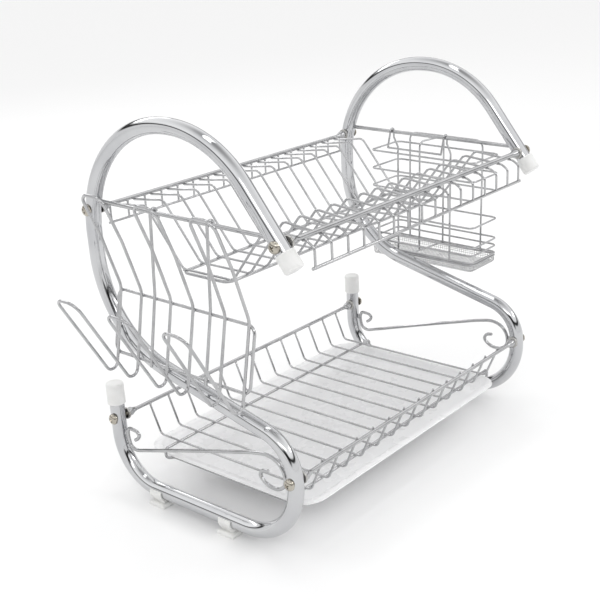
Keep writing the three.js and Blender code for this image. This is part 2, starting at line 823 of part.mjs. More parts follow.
const utensilParts = [
  ...ringZ.map(basketRing),
  ...hangerY.map((y) =>
    bar(
      [
        ...hookTurn(HALF, y, 1, utensilHook, 17),
        v3(HALF + utensilHook, y, SIDE_BAR_Z - 7),
        v3(uprightIn, y, SIDE_BAR_Z - 20),
        v3(uprightIn, y, footZ),
      ],
      UW,
    ),
  ),
  bar(
    hangerY.map((y, i) =>
      v3(HALF - utensilHook - 5.1, y + (i ? -0.8 : 0.8), SIDE_BAR_Z - 17),
    ),
    UW,
  ),
  bar(
    rounded(
      [
        v3(uprightOut, yRear - 19, footZ),
        v3(uprightOut, yRear - 19, hoopTop),
        v3(uprightOut, yFront + 21, hoopTop),
        v3(uprightOut, yFront + 21, footZ),
      ],
      8,
    ),
    UW,
  ),
  bar(
    rounded(
      [
        v3(ringIn + 14, yRear - 60, footZ),
        v3(ringIn + 14, yRear - 60, hoopTop),
        v3(uprightOut, yRear - 67, hoopTop),
        v3(uprightOut, yRear - 67, footZ),
      ],
      6,
    ),
    UW,
  ),
  bar([v3(ringIn, yRear - 60, lastRing), v3(ringOut, yRear - 67, lastRing)], UW),
];
add("utensil_basket", hung(geometryOf(joined(utensilParts))), WIRE_CHROME);

// Mesh pan clinched under the lowest ring, with drain slots through its floor.
const PAN_H = 9.5;
const panMidX = (ringIn + ringOut) / 2;
const panMidY = (yRear + yFront) / 2;
const panLevel = (inset, z) => ({
  pts: roundedRect(
    UTENSIL_W + UW - 2 * inset,
    UTENSIL_L + UW - 2 * inset,
    8.3 - inset,
    3,
  ),
  z,
});
const panOuter = loft([panLevel(1.2, 0), panLevel(0, 2), panLevel(0, PAN_H)]);
const panInner = loft([panLevel(2.2, 1), panLevel(1, 2.6), panLevel(1, PAN_H + 3)]);
const drains = [];
for (const x of [-15, 0, 15])
  for (const y of spread(6, -54, 54)) {
    const slot = new THREE.BoxGeometry(9, 13, 10);
    slot.translate(x, y, 0);
    drains.push(slot);
  }
const pan = geometryOf(cut(solid(panOuter), [panInner, ...drains]));
pan.translate(panMidX, panMidY, lastRing - UW / 2 - CLEAR - PAN_H);
add("utensil_mesh_pan", hung(pan), WIRE_CHROME);

// ---- Origin ----------------------------------------------------------------

// The rack's origin is the middle of its footprint, on the worktop.
rack.updateMatrixWorld(true);
const extent = new THREE.Box3().setFromObject(rack);
const middle = extent.getCenter(new THREE.Vector3());
rack.position.set(-middle.x, -middle.y, -extent.min.z);

export default rack;
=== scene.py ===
import math

import bmesh
import bpy
from mathutils import Matrix, Vector


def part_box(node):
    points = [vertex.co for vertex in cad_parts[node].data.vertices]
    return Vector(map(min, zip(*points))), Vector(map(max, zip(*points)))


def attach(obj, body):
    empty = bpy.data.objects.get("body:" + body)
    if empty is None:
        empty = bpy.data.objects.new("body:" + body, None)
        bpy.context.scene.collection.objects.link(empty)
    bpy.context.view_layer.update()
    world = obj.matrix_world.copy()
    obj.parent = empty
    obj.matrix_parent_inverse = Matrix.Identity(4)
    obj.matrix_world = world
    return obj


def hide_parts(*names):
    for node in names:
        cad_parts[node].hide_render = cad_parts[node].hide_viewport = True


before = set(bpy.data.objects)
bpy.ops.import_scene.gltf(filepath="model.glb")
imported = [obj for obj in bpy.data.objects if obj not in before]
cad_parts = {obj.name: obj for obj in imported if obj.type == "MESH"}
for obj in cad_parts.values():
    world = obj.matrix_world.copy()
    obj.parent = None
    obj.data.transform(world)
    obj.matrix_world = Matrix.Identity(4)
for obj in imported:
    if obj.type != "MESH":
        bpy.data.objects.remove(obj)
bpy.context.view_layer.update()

# ---- Side frames -----------------------------------------------------------
# Two lengths of 15 mm steel tube, each bent in an S and bright chromed. A short rear
# post, the floor run, a tall front bend, the long diagonal, and an arch whose arm ends
# in front. Everything else is bolted, welded or hooked to them.

MM = 0.001
left_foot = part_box("foot_rear_left")
right_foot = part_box("foot_rear_right")
foot_left_x = (left_foot[0].x + left_foot[1].x) / 2
foot_right_x = (right_foot[0].x + right_foot[1].x) / 2
FOOT_REAR_Y = 69.0
MIDDLE = Vector(
    (
        (foot_left_x + foot_right_x) / 2,
        (left_foot[0].y + left_foot[1].y) / 2 - FOOT_REAR_Y * MM,
        0.0,
    )
)
HALF = (foot_right_x - foot_left_x) / 2 / MM  # side frame plane from the middle

TUBE_R = 7.5
TUBE_BASE_Z = 14.5
TUBE_CORNERS = [  # y, z and bend radius, in mm
    (122.5, 117.3, 0),
    (122.5, TUBE_BASE_Z, 50),
    (-110.5, TUBE_BASE_Z, 62),
    (-110.5, 114.0, 42),
    (122.5, 173.5, 104),
    (122.5, 382.0, 110),
    (-43.0, 382.0, 108),
    (-123.3, 279.0, 0),
]


def bent(corners, radii, closed=False, step=8.0):
    """Corner points in mm, each rounded to its radius, a point every step degrees."""
    corners = [Vector(c) for c in corners]
    n = len(corners)
    radii = radii if isinstance(radii, (list, tuple)) else [radii] * n

    def turn_at(i):
        a = corners[i - 1] - corners[i]
        b = corners[(i + 1) % n] - corners[i]
        return math.pi - a.angle(b)

    ends = () if closed else (0, n - 1)
    wants = [
        0.0 if i in ends else radii[i] * math.tan(turn_at(i) / 2) for i in range(n)
    ]
    run = []
    for i, corner in enumerate(corners):
        if wants[i] < 1e-3:
            run.append(corner.copy())
            continue
        a = corners[i - 1] - corner
        b = corners[(i + 1) % n] - corner
        fit_a = 0.98 * a.length / (wants[i] + wants[i - 1])
        fit_b = 0.98 * b.length / (wants[i] + wants[(i + 1) % n])
        back = wants[i] * min(1.0, fit_a, fit_b)
        turn = turn_at(i)
        radius = back / math.tan(turn / 2)
        a.normalize()
        b.normalize()
        centre = corner + (a + b).normalized() * (radius / math.cos(turn / 2))
        start = corner + a * back - centre
        axis = start.cross(corner + b * back - centre).normalized()
        pieces = max(2, round(math.degrees(turn) / step))
        for k in range(pieces + 1):
            run.append(centre + Matrix.Rotation(turn * k / pieces, 3, axis) @ start)
    return run


def add_bar(bm, run, radius, sides=12, closed=False, flat=False):
    """Adds a round bar along a run of points in mm, its ends eased over."""
    n = len(run)
    tangents = []
    for i, p in enumerate(run):
        before = run[i - 1] if closed or i else run[0]
        after = run[(i + 1) % n] if closed or i < n - 1 else run[-1]
        t = (p - before).normalized() + (after - p).normalized()
        tangents.append(t.normalized())
    rings = [[p, t, 1.0] for p, t in zip(run, tangents)]
    if not closed:
        ease = 0.12 if flat else 0.5
        first, last = rings[0], rings[-1]
        head = first[0] + first[1] * radius * ease
        tail = last[0] - last[1] * radius * ease
        rings[0] = [head, first[1], 1.0]
        rings[-1] = [tail, last[1], 1.0]
        for share, scale in ((0.6, 0.92), (0.0, 0.62)):
            rings.insert(0, [first[0] + first[1] * radius * ease * share, first[1], scale])
            rings.append([last[0] - last[1] * radius * ease * share, last[1], scale])
    side = rings[0][1].orthogonal().normalized()
    t0 = rings[0][1]
    start_side = side.copy()
    sides_at = []
    for _, t, _scale in rings:
        side = t0.rotation_difference(t) @ side
        t0 = t
        sides_at.append(side.copy())
    twist = 0.0
    if closed:
        end = t0.rotation_difference(rings[0][1]) @ side
        twist = math.atan2(end.cross(start_side).dot(rings[0][1]), end.dot(start_side))
    loops = []
    for i, (p, t, scale) in enumerate(rings):
        across = t.cross(sides_at[i])
        loop = []
        for s in range(sides):
            a = 2 * math.pi * s / sides + twist * i / len(rings)
            out = sides_at[i] * math.cos(a) + across * math.sin(a)
            loop.append(bm.verts.new(p + out * radius * scale))
        loops.append(loop)
    pairs = list(zip(loops, loops[1:]))
    if closed:
        pairs.append((loops[-1], loops[0]))
    for a, b in pairs:
        for s in range(sides):
            e = (s + 1) % sides
            bm.faces.new((a[s], a[e], b[e], b[s]))
    if not closed:
        bm.faces.new(loops[0][::-1])
        bm.faces.new(loops[-1])


def finish_piece(name, bm, material, body="frame", smooth_angle=40.0):
    """Turns a mesh in mm from the rack's middle into a piece that rides on a body."""
    bmesh.ops.recalc_face_normals(bm, faces=bm.faces)
    for v in bm.verts:
        v.co = v.co * MM + MIDDLE
    mesh = bpy.data.meshes.new(name)
    limit = math.radians(smooth_angle)
    for f in bm.faces:
        f.smooth = True
    for e in bm.edges:
        if e.is_manifold and e.calc_face_angle(0.0) > limit:
            e.smooth = False
    bm.to_mesh(mesh)
    bm.free()
    mesh.materials.append(material)
    piece = bpy.data.objects.new(name, mesh)
    bpy.context.scene.collection.objects.link(piece)
    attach(piece, body)
    return piece


def surface(
    name, colour, rough, metal=0.0, *, worn, blotch, pit, bump, depth=0.05, spread=0.35,
    sockets=None,
):
    """A finish whose colour and gloss vary a little, with a fine texture.

    blotch and pit are the sizes in mm of the slow and the fine variation, depth is the
    texture's relief in mm, and spread is the share by which the gloss varies.
    """
    material = bpy.data.materials.new(name)
    material.use_nodes = True
    nodes = material.node_tree.nodes
    links = material.node_tree.links
    shader = nodes["Principled BSDF"]
    shader.inputs["Metallic"].default_value = metal
    shader.inputs["Subsurface Radius"].default_value = (1.0, 1.0, 1.0)
    for key, value in (sockets or {}).items():
        shader.inputs[key].default_value = value
    place = nodes.new("ShaderNodeTexCoord")
    slow = nodes.new("ShaderNodeTexNoise")
    slow.inputs["Scale"].default_value = 1 / (blotch * MM)
    slow.inputs["Detail"].default_value = 4.0
    fine = nodes.new("ShaderNodeTexNoise")
    fine.inputs["Scale"].default_value = 1 / (pit * MM)
    fine.inputs["Detail"].default_value = 2.0
    links.new(place.outputs["Object"], slow.inputs["Vector"])
    links.new(place.outputs["Object"], fine.inputs["Vector"])
    tint = nodes.new("ShaderNodeValToRGB")
    tint.color_ramp.elements[0].position = 0.35
    tint.color_ramp.elements[0].color = (*worn, 1.0)
    tint.color_ramp.elements[1].position = 0.62
    tint.color_ramp.elements[1].color = (*colour, 1.0)
    links.new(slow.outputs["Fac"], tint.inputs["Fac"])
    links.new(tint.outputs["Color"], shader.inputs["Base Color"])
    gloss = nodes.new("ShaderNodeMapRange")
    gloss.inputs["From Min"].default_value = 0.3
    gloss.inputs["From Max"].default_value = 0.7
    gloss.inputs["To Min"].default_value = rough * (1.0 - spread)
    gloss.inputs["To Max"].default_value = rough * (1.0 + spread)
    mixed = nodes.new("ShaderNodeMath")
    mixed.operation = "ADD"
    half = nodes.new("ShaderNodeMath")
    half.operation = "MULTIPLY"
    half.inputs[1].default_value = 0.5
    links.new(slow.outputs["Fac"], mixed.inputs[0])
    links.new(fine.outputs["Fac"], mixed.inputs[1])
    links.new(mixed.outputs["Value"], half.inputs[0])
    links.new(half.outputs["Value"], gloss.inputs["Value"])
    links.new(gloss.outputs["Result"], shader.inputs["Roughness"])
    relief = nodes.new("ShaderNodeBump")
    relief.inputs["Strength"].default_value = bump
    relief.inputs["Distance"].default_value = depth * MM
    links.new(fine.outputs["Fac"], relief.inputs["Height"])
    links.new(relief.outputs["Normal"], shader.inputs["Normal"])
    return material


tube_chrome = surface(
    "tube_chrome", (0.58, 0.585, 0.595), 0.06, 1.0, blotch=45, pit=2.5, bump=0.05,
    worn=(0.52, 0.525, 0.54), spread=0.5,
)

tube_run = bent(
    [(0, y, z) for y, z, _ in TUBE_CORNERS], [r for _, _, r in TUBE_CORNERS], step=3.0
)
for end, x in (("left", -HALF), ("right", HALF)):
    bm = bmesh.new()
    add_bar(bm, [p + Vector((x, 0, 0)) for p in tube_run], TUBE_R, 40, flat=True)
    tube = finish_piece(f"bent_tube_{end}", bm, tube_chrome)
    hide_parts(f"side_frame_{end}")


def tube_y(z, rear, from_top):
    """Where the tube's centreline crosses a height."""
    run = tube_run[::-1] if from_top else tube_run
    for a, b in zip(run, run[1:]):
        if (a.z - z) * (b.z - z) <= 0 and a.z != b.z:
            y = a.y + (b.y - a.y) * (z - a.z) / (b.z - a.z)
            if (y > 0) == rear:
                return y
    return 0.0


# ---- Side bars -------------------------------------------------------------
# A straight 4 mm chromed rod welded between the back of each arch and its front arm.
# The cup rack and the utensil basket hook over them.

CAP_LIFT = 1.9  # from the tube's end to the outer face of its cap
FRONT_CAP_L = 16.5
BOLT_HEAD_R = 5.5
arm_top, arm_end = (Vector((0, y, z)) for y, z, _ in TUBE_CORNERS[-2:])
arm_out = (arm_end - arm_top).normalized()
TOP_Z = arm_end.z - arm_out.z * (FRONT_CAP_L - CAP_LIFT + BOLT_HEAD_R + 2.5)
LOW_Z = 82.3
RAILS = {
    "lower_rear": (tube_y(LOW_Z, True, False) - 2, LOW_Z, 2.0),
    "lower_front": (tube_y(LOW_Z, False, False), LOW_Z, 2.0),
    "upper_rear": (tube_y(TOP_Z, True, True), TOP_Z, 2.0),
    "upper_front": (tube_y(TOP_Z, False, True) - 1.5, TOP_Z, 2.7),
}
BAR_REAR = Vector((0, tube_y(TOP_Z + 8.5, True, True) - 4, TOP_Z + 8.5))
BAR_FRONT = Vector((0, tube_y(TOP_Z + 4.5, False, True) + 4, TOP_Z + 4.5))
BAR_R = 2.0

wire_chrome = surface(
    "wire_chrome", (0.50, 0.502, 0.51), 0.17, 1.0, blotch=18, pit=1.6, bump=0.08,
    worn=(0.42, 0.422, 0.43), spread=0.4,
)


def add_bead(bm, centre, across, along=None, axis=(0, 0, 1)):
    """A weld bead: a small squashed ball, across wide and along long, in mm."""
    along = across if along is None else along
    turn = Vector((0, 0, 1)).rotation_difference(Vector(axis).normalized())
    made = bmesh.ops.create_uvsphere(bm, u_segments=10, v_segments=6, radius=1.0)
    for v in made["verts"]:
        q = Vector((v.co.x * across, v.co.y * across, v.co.z * along))
        v.co = turn @ q + Vector(centre)


for end, x in (("left", -HALF), ("right", HALF)):
    bm = bmesh.new()
    shift = Vector((x, 0, 0))
    add_bar(bm, [BAR_REAR + shift, BAR_FRONT + shift], BAR_R, 16)
    reach = (BAR_FRONT - BAR_REAR).normalized()
    for p, s in ((BAR_REAR, 1), (BAR_FRONT, -1)):
        add_bead(bm, p + shift + reach * s * -1.6, 3.0, 1.9, reach)
    bar = finish_piece(f"hook_bar_{end}", bm, wire_chrome)
    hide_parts(f"side_bar_{end}")

# ---- Scroll braces ---------------------------------------------------------
# A 3.6 mm chromed wire with an open curl at each end. It crosses the lower bay of
# each side frame and is spot welded where its two curls touch the tube.

SCROLL = [
    (101, 61), (96, 64.5), (94, 68.5), (97, 71.5), (103, 72.5), (108, 72),
    (110.6, 67), (110, 59), (107.5, 53), (101, 50.5), (86, 54), (52, 64), (0, 79),
    (-36, 89), (-62, 96), (-79, 98.5), (-89.5, 95.5), (-96, 89), (-98.6, 81),
    (-97.4, 73.5), (-91, 68), (-82, 67), (-73.5, 70), (-69, 75.5), (-71.5, 80.5),
    (-79, 82.5),
]
SCROLL_R = 1.8


def flowing(points, per_span=6):
    """A smooth centripetal curve through the points."""
    pts = [points[0] * 2 - points[1], *points, points[-1] * 2 - points[-2]]
    run = []
    for i in range(1, len(pts) - 2):
        p0, p1, p2, p3 = pts[i - 1 : i + 3]
        t1 = (p1 - p0).length ** 0.5
        t2 = t1 + (p2 - p1).length ** 0.5
        t3 = t2 + (p3 - p2).length ** 0.5
        for k in range(per_span):
            t = t1 + (t2 - t1) * k / per_span
            a1 = p0.lerp(p1, t / t1)
            a2 = p1.lerp(p2, (t - t1) / (t2 - t1))
            a3 = p2.lerp(p3, (t - t2) / (t3 - t2))
            b1 = a1.lerp(a2, t / t2)
            b2 = a2.lerp(a3, (t - t1) / (t3 - t1))
            run.append(b1.lerp(b2, (t - t1) / (t2 - t1)))
    run.append(points[-1].copy())
    return run


for end, x in (("left", -HALF), ("right", HALF)):
    bm = bmesh.new()
    curl = flowing([Vector((x, y, z)) for y, z in SCROLL])
    add_bar(bm, curl, SCROLL_R, 14)
    add_bead(bm, (x, 113.2, 66.0), 1.9, 3.2)
    add_bead(bm, (x, -101.4, 82.0), 1.9, 3.2)
    brace = finish_piece(f"curled_brace_{end}", bm, wire_chrome)
    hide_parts(f"scroll_brace_{end}")

# ---- End caps --------------------------------------------------------------
# Soft white plastic caps moulded in one shot and pushed over the four tube ends. Each
# has a slightly domed end and a thin rolled lip at its mouth.

CAP_R = 9.0
REAR_CAP_L = 22.0

cap_plastic = surface(
    "cap_plastic", (0.83, 0.83, 0.82), 0.38, blotch=12, pit=0.6, bump=0.25, depth=0.04,
    worn=(0.78, 0.78, 0.765), sockets={"Subsurface Weight": 0.12, "Subsurface Scale": 0.004},
)


def add_turned(bm, profile, place, segments=32):
    """Spins (radius, height) points about +Z, then puts the result in place."""
    loops = []
    for r, h in profile:
        if r < 1e-6:
            loops.append([bm.verts.new(place @ Vector((0, 0, h)))])
            continue
        loop = []
        for s in range(segments):
            a = 2 * math.pi * s / segments
            loop.append(bm.verts.new(place @ Vector((r * math.cos(a), r * math.sin(a), h))))
        loops.append(loop)
    for a, b in zip(loops, loops[1:]):
        for s in range(segments):
            e = (s + 1) % segments
            if len(a) == 1:
                bm.faces.new((a[0], b[s], b[e]))
            elif len(b) == 1:
                bm.faces.new((a[s], b[0], a[e]))
            else:
                bm.faces.new((a[s], b[s], b[e], a[e]))


def aimed(point, direction):
    """A placement at a point in mm with +Z turned to a direction."""
    turn = Vector((0, 0, 1)).rotation_difference(Vector(direction).normalized())
    return Matrix.Translation(Vector(point)) @ turn.to_matrix().to_4x4()


def cap_profile(length):
    bore = TUBE_R + 0.25
    return [
        (0, 0.25), (3.0, 0.22), (CAP_R - 2.2, 0.0), (CAP_R - 1.2, -0.25),
        (CAP_R - 0.45, -0.9), (CAP_R - 0.1, -1.9), (CAP_R, -3.2),
        (CAP_R + 0.02, -length * 0.5), (CAP_R + 0.03, 1.3 - length),
        (CAP_R + 0.16, 1.0 - length), (CAP_R + 0.16, 0.4 - length),
        (CAP_R - 0.1, 0.05 - length), (bore + 0.3, -length), (bore, 0.4 - length),
        (bore, -1.7), (0, -1.65),
    ]


for end, x in (("left", -HALF), ("right", HALF)):
    bm = bmesh.new()
    top = tube_run[0] + Vector((x, 0, CAP_LIFT))
    add_turned(bm, cap_profile(REAR_CAP_L), aimed(top, (0, 0, 1)))
    cap = finish_piece(f"post_cap_{end}", bm, cap_plastic)
    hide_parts(f"rear_cap_{end}")
    bm = bmesh.new()
    tip = arm_end + Vector((x, 0, 0)) + arm_out * CAP_LIFT
    add_turned(bm, cap_profile(FRONT_CAP_L), aimed(tip, arm_out))
    cap = finish_piece(f"arm_cap_{end}", bm, cap_plastic)
    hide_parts(f"front_cap_{end}")

# ---- Feet ------------------------------------------------------------------
# Pale plastic clips that snap up onto the tube's floor run. A saddle grips the lower
# half of the tube, a waisted neck drops from it, and a flat pad stands on the worktop.

FOOT_FRONT_Y = -25.0
FOOT_LEN = 15.0
PAD_W = 19.0
PAD_L = 21.0

foot_plastic = surface(
    "foot_plastic", (0.86, 0.86, 0.84), 0.42, blotch=9, pit=0.8, bump=0.2, depth=0.04,
    worn=(0.80, 0.80, 0.78),
    sockets={"Subsurface Weight": 0.4, "Subsurface Scale": 0.006},
)


def add_slab(bm, centre, size, ease=0.8):
    """A box with rounded edges, centre and size in mm."""
    made = bmesh.ops.create_cube(bm, size=1.0)
    verts = made["verts"]
    for v in verts:
        v.co = Vector(centre) + Vector((v.co.x * size[0], v.co.y * size[1], v.co.z * size[2]))
    edges = list({e for v in verts for e in v.link_edges})
    bmesh.ops.bevel(
        bm, geom=edges, offset=ease, segments=3, profile=0.5, affect="EDGES"
    )


def add_extruded(bm, outline, low_y, high_y):
    """A closed (x, z) outline run along Y."""
    front = [bm.verts.new((x, low_y, z)) for x, z in outline]
    back = [bm.verts.new((x, high_y, z)) for x, z in outline]
    n = len(outline)
    for i in range(n):
        e = (i + 1) % n
        bm.faces.new((front[i], front[e], back[e], back[i]))
    bm.faces.new(front[::-1])
    bm.faces.new(back)


def foot_outline(x):
    """Saddle arc inside and outside, and a waisted neck below it."""
    outer, inner = TUBE_R + 1.9, TUBE_R + 0.15
    grip = math.radians(22)  # how far the jaws reach above the tube's middle
    points = []
    for k in range(25):
        a = grip - (math.pi + 2 * grip) * k / 24
        points.append((x + inner * math.cos(a), TUBE_BASE_Z + inner * math.sin(a)))
    side = []
    for k in range(9):
        a = math.pi - grip + (math.radians(52) + grip) * k / 8
        side.append((outer * math.cos(a), TUBE_BASE_Z + outer * math.sin(a)))
    side += [(-5.1, 6.0), (-5.2, 4.8), (-6.2, 3.6)]
    points += [(x + px, pz) for px, pz in side]
    points += [(x - px, pz) for px, pz in side[::-1]]
    return points


for end, x in (("left", -HALF), ("right", HALF)):
    for where, y in (("rear", FOOT_REAR_Y), ("front", FOOT_FRONT_Y)):
        bm = bmesh.new()
        add_extruded(bm, foot_outline(x), y - FOOT_LEN / 2, y + FOOT_LEN / 2)
        add_slab(bm, (x, y, 2.1), (PAD_W, PAD_L, 4.2), 0.7)
        foot = finish_piece(f"clip_foot_{where}_{end}", bm, foot_plastic)
        ease = foot.modifiers.new("edge", "BEVEL")
        ease.width = 0.25 * MM
        ease.segments = 2
        ease.limit_method = "ANGLE"
        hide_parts(f"foot_{where}_{end}")

# ---- Bolts and washers -----------------------------------------------------
# Nickel-plated dome-head bolts with a cross recess go through the tubes into the ends
# of the four long rails. A plain thick washer spaces each rail off its tube.

bolt_plate = surface(
    "bolt_plate", (0.50, 0.47, 0.41), 0.16, 1.0, blotch=4, pit=0.7, bump=0.12,
    worn=(0.40, 0.37, 0.32), spread=0.6,
)
washer_plate = surface(
    "washer_plate", (0.50, 0.495, 0.48), 0.32, 1.0, blotch=5, pit=0.9, bump=0.12,
    worn=(0.38, 0.37, 0.35), spread=0.5,
)
GAP = 0.3  # between parts that touch
TUBE_FACE = HALF + TUBE_R
WASHER_OUT = HALF - TUBE_R - GAP
WASHER_T = 2.5
WASHER_R = 6.0
WASHER_HOLE_R = 2.3
RAIL_END = WASHER_OUT - WASHER_T - GAP
BOLT_R = 2.0
BOLT_GRIP = 5.0  # how far the bolt reaches into a rail's end
BOLT_SEAT = TUBE_FACE + GAP / 2
BOLT_RIM_H = 0.9
BOLT_HEAD_H = 4.4
RECESS_W = 1.25  # one slot of the cross
RECESS_L = 5.6
RECESS_DEEP = 3.4
RECESS_TURN = 0.6  # radians


def add_domed_bolt(bm, out, y, z):
    """out is 1 at the right-hand frame and -1 at the left."""
    place = Matrix.Translation((0, y, z)) @ Matrix.Rotation(out * math.pi / 2, 4, "Y")
    rim = BOLT_SEAT + BOLT_RIM_H
    dome_h = BOLT_HEAD_H - BOLT_RIM_H
    dome = [(BOLT_HEAD_R, BOLT_SEAT), (BOLT_HEAD_R, rim)]
    for k in range(1, 9):
        a = math.radians(82) * k / 8
        dome.append((BOLT_HEAD_R * math.cos(a), rim + dome_h * math.sin(a)))
    tip = RAIL_END - BOLT_GRIP
    profile = [(0, tip), (BOLT_R, tip), (BOLT_R, BOLT_SEAT), *dome]
    profile.append((0, BOLT_SEAT + BOLT_HEAD_H))
    add_turned(bm, profile, place, 28)


def cross_cutter(out, y, z):
    """The tapered cross of the driver recess."""
    cutter = bmesh.new()
    place = Matrix.Translation((0, y, z)) @ Matrix.Rotation(out * math.pi / 2, 4, "Y")
    middle = TUBE_FACE + RECESS_DEEP
    for turn in (RECESS_TURN, RECESS_TURN + math.pi / 2):
        made = bmesh.ops.create_cube(cutter, size=1.0)
        spin = place @ Matrix.Rotation(turn, 4, "Z")
        for v in made["verts"]:
            length = RECESS_L * (1.0 if v.co.z > 0 else 0.35)
            local = (v.co.x * length, v.co.y * RECESS_W, middle + v.co.z * RECESS_DEEP)
            v.co = spin @ Vector(local)
    return cutter


def cut_out(piece, cutter_bm):
    """Cuts a mesh in mm out of a finished piece."""
    for v in cutter_bm.verts:
        v.co = v.co * MM + MIDDLE
    bmesh.ops.recalc_face_normals(cutter_bm, faces=cutter_bm.faces)
    mesh = bpy.data.meshes.new("cutter")
    cutter_bm.to_mesh(mesh)
    cutter_bm.free()
    cutter = bpy.data.objects.new("cutter", mesh)
    bpy.context.scene.collection.objects.link(cutter)
    trim = piece.modifiers.new("recess", "BOOLEAN")
    trim.operation = "DIFFERENCE"
    trim.object = cutter
    trim.use_self = True
    bpy.context.view_layer.update()
    shown = piece.evaluated_get(bpy.context.evaluated_depsgraph_get())
    cut_mesh = bpy.data.meshes.new_from_object(shown)
    piece.modifiers.clear()
    piece.data = cut_mesh
    bpy.data.objects.remove(cutter)


washer_profile = [
    (WASHER_HOLE_R, 0), (WASHER_R - 0.8, 0), (WASHER_R - 0.2, 0.35), (WASHER_R, 0.9),
    (WASHER_R, WASHER_T - 0.5), (WASHER_R - 0.3, WASHER_T), (WASHER_HOLE_R, WASHER_T),
    (WASHER_HOLE_R, 0),
]
for rail, (y, z, _) in RAILS.items():
    for end, out in (("left", -1), ("right", 1)):
        bm = bmesh.new()
        add_domed_bolt(bm, out, y, z)
        bolt = finish_piece(f"dome_bolt_{rail}_{end}", bm, bolt_plate, smooth_angle=35)
        cut_out(bolt, cross_cutter(out, y, z))
        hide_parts(f"bolt_{rail}_{end}")
        bm = bmesh.new()
        turn = Matrix.Rotation(out * math.pi / 2, 4, "Y")
        place = Matrix.Translation((out * (WASHER_OUT - WASHER_T), y, z)) @ turn
        add_turned(bm, washer_profile, place, 28)
        bmesh.ops.remove_doubles(bm, verts=bm.verts, dist=1e-4)
        washer = finish_piece(f"spacer_washer_{rail}_{end}", bm, washer_plate)
        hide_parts(f"washer_{rail}_{end}")

# ---- Upper basket ----------------------------------------------------------
# The plate and bowl rack, welded up from chromed wire and plated as one piece: two
# long rails, bent cross wires, a plate guard, a floor loop and a bar for bowls.

WIRE_R = 1.15
LOOP_R = 1.5
WELD = 0.5
PLATE_WIRES = 16
GUARD_DROPS = 17
PLATE_SPAN = HALF - 27
UP_FLOOR_Z = 244.5
BOSS_L = 9.0
BOSS_R = 4.5
DROP_R = 1.05
BOWL_BAR_OUT = 12.0  # in front of the front rail
BOWL_BAR_Z = 272.0
GUARD_Z = 279.3
UP_LOOP_ENDS = (34.0, -24.0)


def spread(count, low, high):
    return [low + (high - low) * i / (count - 1) for i in range(count)]


def add_rail(bm, y, z, r):
    """A long rail whose ends swell into the bosses that take the bolts."""
    half = [
        (0, RAIL_END), (BOSS_R - 0.5, RAIL_END), (BOSS_R, RAIL_END - 0.5),
        (BOSS_R, RAIL_END - 4), (BOSS_R - 0.7, RAIL_END - 5.5), (r + 0.5, RAIL_END - BOSS_L),
        (r, RAIL_END - BOSS_L - 2.5),
    ]
    whole = half + [(a, -b) for a, b in half[::-1]]
    place = Matrix.Translation((0, y, z)) @ Matrix.Rotation(math.pi / 2, 4, "Y")
    add_turned(bm, whole, place, 18)


rear_y, _, rear_r = RAILS["upper_rear"]
front_y, _, front_r = RAILS["upper_front"]
bowl_y = front_y - BOWL_BAR_OUT

bm = bmesh.new()
add_rail(bm, *RAILS["upper_rear"])
add_rail(bm, *RAILS["upper_front"])
rails = finish_piece("plate_rack_rails", bm, wire_chrome)
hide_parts("upper_basket")

bm = bmesh.new()
up_loop_z = UP_FLOOR_Z - WIRE_R - LOOP_R + WELD
for x in spread(PLATE_WIRES, -PLATE_SPAN, PLATE_SPAN):
    corners = [
        (x, rear_y - 0.6, TOP_Z - 2.6), (x, 78, TOP_Z + 2), (x, 35, UP_FLOOR_Z),
        (x, -27.5, UP_FLOOR_Z), (x, -71, TOP_Z + 1.8), (x, front_y - 5, TOP_Z - 3.4),
        (x, bowl_y, TOP_Z - 8), (x, bowl_y, BOWL_BAR_Z),
    ]
    add_bar(bm, bent(corners, [0, 9, 8, 8, 7, 6, 5, 0], step=12), WIRE_R, 12)
    add_bead(bm, (x, rear_y - 0.8, TOP_Z - 2.2), 1.5, 1.1)
    add_bead(bm, (x, front_y - 0.6, TOP_Z - front_r - 0.5), 1.5, 1.0)
    add_bead(bm, (x, bowl_y, BOWL_BAR_Z + 0.2), 1.6, 1.9)
    for y in UP_LOOP_ENDS:
        add_bead(bm, (x, y, up_loop_z + 1.1), 1.5, 1.0)
wires = finish_piece("plate_wires", bm, wire_chrome)

bm = bmesh.new()
guard_y = rear_y - 1.2
add_bar(
    bm,
    [Vector((15 - HALF, guard_y, GUARD_Z)), Vector((HALF - 15, guard_y, GUARD_Z))],
    WIRE_R,
    12,
)
for x in spread(GUARD_DROPS, 18.5 - HALF, HALF - 18.5):
    drop = [Vector((x, guard_y, TOP_Z - 0.6)), Vector((x, guard_y, GUARD_Z - 0.2))]
    add_bar(bm, drop, DROP_R, 10)
    add_bead(bm, (x, guard_y, GUARD_Z + 0.2), 1.5, 1.5)
    add_bead(bm, (x, guard_y, TOP_Z - 1.7), 1.4, 1.1)
guard = finish_piece("plate_guard", bm, wire_chrome)

bm = bmesh.new()
bowl_bar = [Vector((x, bowl_y, BOWL_BAR_Z)) for x in (-PLATE_SPAN - 4, PLATE_SPAN + 4)]
add_bar(bm, bowl_bar, LOOP_R, 14)
loop_x = PLATE_SPAN + 3
up_loop = bent(
    [
        (-loop_x, UP_LOOP_ENDS[0], up_loop_z), (loop_x, UP_LOOP_ENDS[0], up_loop_z),
        (loop_x, UP_LOOP_ENDS[1], up_loop_z), (-loop_x, UP_LOOP_ENDS[1], up_loop_z),
    ],
    8,
    closed=True,
)
add_bar(bm, up_loop, LOOP_R, 14, closed=True)
loop = finish_piece("plate_floor_loop", bm, wire_chrome)

# ---- Lower basket ----------------------------------------------------------
# The same welded wire work: thirteen cross wires drop from the rear rail, run flat and
# rise past the front rail. The floor loop's ends step down to carry the drip tray.

